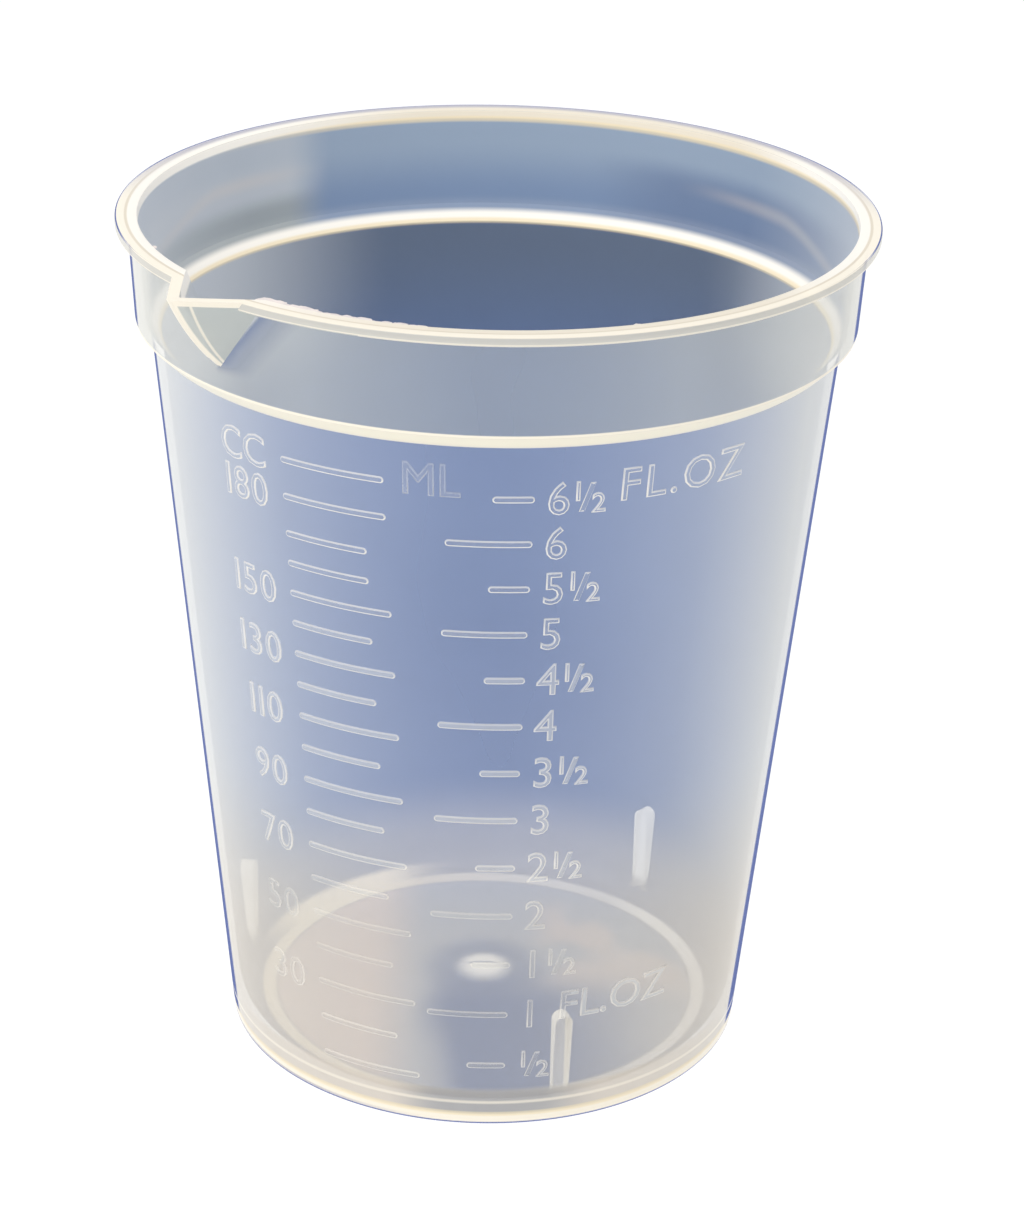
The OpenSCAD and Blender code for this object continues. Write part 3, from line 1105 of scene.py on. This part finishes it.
def make_burr(direction, reach, length, seed):
    """One flake at a direction in degrees, that reaches inwards and is as long as given, in millimetres."""
    start_clean()
    bpy.ops.mesh.primitive_ico_sphere_add(subdivisions=2, radius=MM)
    burr = bpy.context.object
    edit()
    bpy.ops.transform.vertex_random(offset=CRUMPLE * MM, uniform=1.0, seed=seed)
    bpy.ops.transform.resize(value=(reach, length, BURR_THICKNESS), center_override=(0, 0, 0))
    move(lip_inner, 0, cup_top - BURR_BELOW_TOP)
    leave_edit()
    turn_round(burr, math.radians(direction))
    return burr


def join(pieces, name):
    """Joins pieces into one, named for what it is."""
    start_clean()
    for piece in pieces:
        piece.select_set(True)
    bpy.context.view_layer.objects.active = pieces[0]
    bpy.ops.object.join()
    pieces[0].name = name
    return pieces[0]


shapes = random.Random(11)
burrs = [make_burr(*nub, seed=NUB_SEED) for nub in NUBS]
for number in range(BURR_COUNT):
    direction = BURR_FIRST + BURR_STEP * (number + shapes.uniform(-BURR_UNEVEN, BURR_UNEVEN))
    shrink = 1 - 0.6 * number / BURR_COUNT
    reach = shapes.uniform(*BURR_REACHES) * shrink
    burrs.append(make_burr(direction, reach, shapes.uniform(*BURR_LENGTHS), number))
lip_burrs = join(burrs, "lip_burrs")

burr_plastic = new_plastic("burr_plastic")
burr_place = wire("TexCoord", {}, "Object", burr_plastic.node_tree)
burr_cover = between(noise(burr_place, 900), 0, 1, 0.7, 0.95)
lip_burrs.data.materials.append(finish_plastic(burr_plastic, BURR_PINK, burr_cover, 0.4))
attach(lip_burrs, "root")
print("burrs:", len(lip_burrs.data.polygons), "faces")

# %% [markdown]
# ## Plastic of the raised scales
# Lines and figures are cut into the mould, so they stand proud of the wall. What shows of a stroke is
# its rim: the sloping flanks bend light and glow as fine pale lines, painted highlights that are stronger
# on flanks that look down than on those that look up. Its top is as clear as the wall high on the cup,
# and milkier further down. So a stroke needs two plastics. The painted highlights of strokes near the
# foot are faint, and so are those of the unit beside the top line.

# %% Stroke plastic
STROKE_CREAM = (0.92, 0.88, 0.80, 1)
FACE, FLANKS = range(2)


def make_stroke_face():
    """The top of a stroke: a little milk with a fine grain, and more of it below the upper lines."""
    material = new_plastic("stroke_face")
    place, height, _, x, _ = measures(material.node_tree)
    grain = between(noise(place, 900), 0.3, 0.7, 0.06, 0.14)
    filled = times(fade(height, 50, 64), 0.42, between(height, 20, 36, 0.35, 1))
    low_words = times(band(height, 12.5, 17.0, 0.4), ramp(x, 8.5, 9.0), 0.5)
    return finish_plastic(material, SLANT_GREY, larger(grain, filled, low_words), 0.3)


def make_stroke_flank():
    """The slopes round a stroke: a painted cream highlight, nearly solid where they look down, thinner
    where they look up.
    """
    material = new_plastic("stroke_flank")
    tree = material.node_tree
    _, height, _, x, _ = measures(tree)
    cover = between(facing_up(tree), -0.4, 0.4, 0.85, 0.45)
    # These shares make the painted highlight on the flanks fainter at the unit, near the foot and high up.
    faint_unit = times(ramp(height, 70.9, 71.2), band(x, -8.6, -1.2, 0.2), 0.65)
    at_foot = times(band(height, 16.5, 24, 8), 0.5)
    faint_share = larger(faint_unit, at_foot, times(fade(height, 14, 34), 0.25), times(fade(height, 50, 62), 0.15))
    return finish_plastic(material, STROKE_CREAM, times(cover, minus(1, faint_share)), 0.3)


stroke_plastics = (make_stroke_face(), make_stroke_flank())
print("stroke plastics made")

# %% [markdown]
# ## The raised scales
# Each stroke is made flat, with sloping flanks, in a sheet where one axis runs round the wall and
# the other up it. The sheet is then wrapped on the cone, so that figures lean and curve with it.

# %% Lay a flat piece on the wall
LINE_WIDTH = 0.7
RELIEF = 0.11
FLANK = 0.15
SUNK = 0.10


def lay_on_wall(piece, direction, height):
    """Wraps a flat piece round the cone: across becomes an arc, up a height, and thickness the relief."""
    for vertex in piece.data.vertices:
        across, above, proud = vertex.co / MM
        level = height + above
        angle = direction + across / wall_radius(level)
        out = wall_radius(level) + proud
        vertex.co = Vector((out * math.cos(angle), out * math.sin(angle), level)) * MM


def mark_flanks(piece):
    """Dresses a stroke, with the bright plastic on the sloping faces round it."""
    for plastic in stroke_plastics:
        piece.data.materials.append(plastic)
    for face in piece.data.polygons:
        face.material_index = FLANKS if 0.15 < face.normal.z < 0.97 else FACE


def make_line(length):
    """A flat stroke with round ends, its middle at the origin: a grid, rounded, thickened and inset."""
    start_clean()
    bpy.ops.mesh.primitive_grid_add(x_subdivisions=max(2, round(length)), y_subdivisions=1, size=1)
    line = bpy.context.object
    edit()
    bpy.ops.transform.resize(value=(length * MM, LINE_WIDTH * MM, 1))
    pick(line, "VERT", lambda vertex: abs(vertex.co.x) > length / 2 * 0.999 * MM)
    bpy.ops.mesh.bevel(offset=LINE_WIDTH / 2 * 0.96 * MM, segments=4, affect="VERTICES")
    bpy.ops.mesh.select_all(action="SELECT")
    move(0, 0, -SUNK)
    bpy.ops.mesh.select_mode(type="FACE")
    bpy.ops.mesh.extrude_region_move(TRANSFORM_OT_translate={"value": (0, 0, SUNK * MM)})
    for share in (0.4, 0.6):
        bpy.ops.mesh.inset(thickness=FLANK * share * MM, depth=0)
        move(0, 0, RELIEF * (1 - share))
    close_up()
    mark_flanks(line)
    return line


print("strokes", LINE_WIDTH, "mm wide, standing", RELIEF, "mm proud")

# %% [markdown]
# ### Figures
# Blender's own font has the plain round shapes that an engraver's figures have, with a bar without
# a flag as its capital i, which these scales use for a one. A bevel on the text gives the flanks.

# %% Figures
FONT_HEIGHT = 0.682


def make_text(words, height, width_share=1.0, spacing=1.0):
    """Raised words whose middle is at the origin, with capitals of a height in millimetres."""
    start_clean()
    bpy.ops.object.text_add()
    text = bpy.context.object
    text.data.body = words
    text.data.size = height * MM / FONT_HEIGHT
    text.data.align_x = "CENTER"
    text.data.resolution_u = 3
    text.data.space_character = spacing
    text.data.offset = -FLANK * MM * 0.5
    text.data.extrude = SUNK * MM / 2
    text.data.bevel_depth = FLANK * MM
    text.data.bevel_resolution = 1
    bpy.ops.object.convert(target="MESH")
    text = bpy.context.object
    text.data.materials.clear()
    edit()
    bpy.ops.mesh.remove_doubles(threshold=0.002 * MM)
    move(0, -height / 2)
    bpy.ops.transform.resize(value=(width_share, 1, RELIEF / FLANK), center_override=(0, 0, 0))
    leave_edit()
    mark_flanks(text)
    return text


print("the font's capitals are", FONT_HEIGHT, "of its size")

# %% [markdown]
# ### Where the lines stand
# A line stands where the cup holds its volume. The inside is a cone, so the height for a volume
# comes from a cube root, as in the CAD source. The two top lines stand a little high, and the ounce
# lines a little low half-way up, because the photographed scale does.

# %% Heights of the lines
OUNCE = 29.57
OUNCE_SAG = 0.9
EVEN_TOP = 170
TOP_STEP = 12.7
CC_OUTER_END = math.radians(234.6)
OUNCE_END_FOOT = 275.0
OUNCE_END_TOP = 277.0


def fill_height(millilitres):
    """Height of a volume in the cup, in millimetres."""
    start = inner_base + wall_lean * FLOOR
    radius = (start ** 3 + 3 * wall_lean * millilitres * 1000 / math.pi) ** (1 / 3)
    return (radius - inner_base) / wall_lean


def cc_height(millilitres):
    """Height of a line of the millilitre scale."""
    high = max(0, millilitres - EVEN_TOP) / 10 * (TOP_STEP - 10)
    return fill_height(millilitres + high)


def ounce_height(ounces):
    """Height of a line of the ounce scale."""
    true = fill_height(ounces * OUNCE)
    return true - OUNCE_SAG * math.sin(math.pi * true / step_foot)


def ounce_end(height):
    """Direction of the end of the ounce lines next to the figures."""
    return math.radians(OUNCE_END_FOOT + (OUNCE_END_TOP - OUNCE_END_FOOT) * height / step_foot)


print("lines of 100 ml and 3 fl oz at", round(cc_height(100), 1), "and", round(ounce_height(3), 1), "mm")

# %% [markdown]
# ### The millilitre scale
# Nineteen lines start at one direction. Up to 150 every second one is long, and so are the two at
# the top. Figures stand to the left of the long ones from 30 to 180. The letters of the unit stand
# above the figures and to the right of the top line.

# %% Millilitre scale
CC_LONG = 10.9
CC_SHORT = 8.8
CC_FIGURES = math.radians(226.3)
CC_UNITS = (("CC", CC_FIGURES, 72.4), ("ML", math.radians(260.5), 73.0))
FIGURE_DROP = 0.2
FIGURE_SPACING = 1.1
FIGURE_HEIGHT = 3.2
FIGURE_SHARE = 0.95
cc_pieces = []

for millilitres in range(10, 200, 10):
    odd = millilitres // 10 % 2 == 1 and millilitres < EVEN_TOP
    length = CC_LONG if odd or millilitres > EVEN_TOP else CC_SHORT
    height = cc_height(millilitres)
    line = make_line(length)
    lay_on_wall(line, CC_OUTER_END + length / 2 / wall_radius(height), height)
    cc_pieces.append(line)

for millilitres in (180, 150, 130, 110, 90, 70, 50, 30):
    figure = make_text(str(millilitres).replace("1", "I"), FIGURE_HEIGHT, FIGURE_SHARE, FIGURE_SPACING)
    lay_on_wall(figure, CC_FIGURES, cc_height(millilitres) - FIGURE_DROP)
    cc_pieces.append(figure)

for words, direction, height in CC_UNITS:
    unit = make_text(words, FIGURE_HEIGHT, FIGURE_SHARE)
    lay_on_wall(unit, direction, height)
    cc_pieces.append(unit)
cc_scale = join(cc_pieces, "millilitre_scale")
print("millilitre scale:", len(cc_scale.data.polygons), "faces")

# %% [markdown]
# ### The ounce scale
# Thirteen lines end at a direction that leans a little, and each has its figure to the right. The
# halves carry a small fraction: a one, a stroke and a two, set apart from the whole number.

# %% Ounce scale
OUNCE_LONG = 8.1
OUNCE_SHORT = 3.9
FRACTION_HEIGHT = 1.9
FRACTION_RISE = 0.65
WHOLE_PLACE = 2.2
HALF_BESIDE = 3.7
HALF_ALONE = 1.5
LABEL_RISE = 0.05
OUNCE_UNITS = ((72.2, 302, 1.15), (14.4, 298, 1.0))
ounce_pieces = []


def shift(piece, across, above):
    """Moves a flat piece in its sheet."""
    take(piece)
    edit()
    move(across, above)
    leave_edit()
    return piece


def make_half():
    """The fraction one half, its left edge near the origin."""
    one = shift(make_text("I", FRACTION_HEIGHT), 0.3, FRACTION_RISE)
    stroke = shift(make_text("/", FIGURE_HEIGHT * 0.85, 1.25), 1.2, 0)
    two = shift(make_text("2", FRACTION_HEIGHT), 2.3, -FRACTION_RISE)
    return join([one, stroke, two], "half")


for halves in range(1, 14):
    height = ounce_height(halves / 2)
    length = OUNCE_SHORT if halves % 2 else OUNCE_LONG
    line = make_line(length)
    lay_on_wall(line, ounce_end(height) - length / 2 / wall_radius(height), height)
    ounce_pieces.append(line)
    label = []
    if halves > 1:
        whole = str(halves // 2).replace("1", "I")
        label.append(shift(make_text(whole, FIGURE_HEIGHT, FIGURE_SHARE), WHOLE_PLACE, 0))
    if halves % 2:
        label.append(shift(make_half(), HALF_BESIDE if halves > 1 else HALF_ALONE, 0))
    figure = join(label, "figure")
    lay_on_wall(figure, ounce_end(height), height + LABEL_RISE)
    ounce_pieces.append(figure)

for height, direction, spacing in OUNCE_UNITS:
    words = make_text("FL.OZ", FIGURE_HEIGHT, 1.0, spacing)
    lay_on_wall(words, math.radians(direction), height)
    ounce_pieces.append(words)
ounce_scale = join(ounce_pieces, "ounce_scale")
print("ounce scale:", len(ounce_scale.data.polygons), "faces")

# %% [markdown]
# ### Both scales on the cup
# Each scale takes the place of its lines in the CAD model and rides on the cup. The count of bright
# faces shows that the flanks kept their own plastic when the strokes were joined.

# %% Put the scales on
for scale, node in ((cc_scale, "cc_lines"), (ounce_scale, "ounce_lines")):
    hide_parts(node)
    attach(scale, "root")
    flanks = sum(face.material_index == FLANKS for face in scale.data.polygons)
    print(scale.name, "dressed, with", flanks, "bright faces")
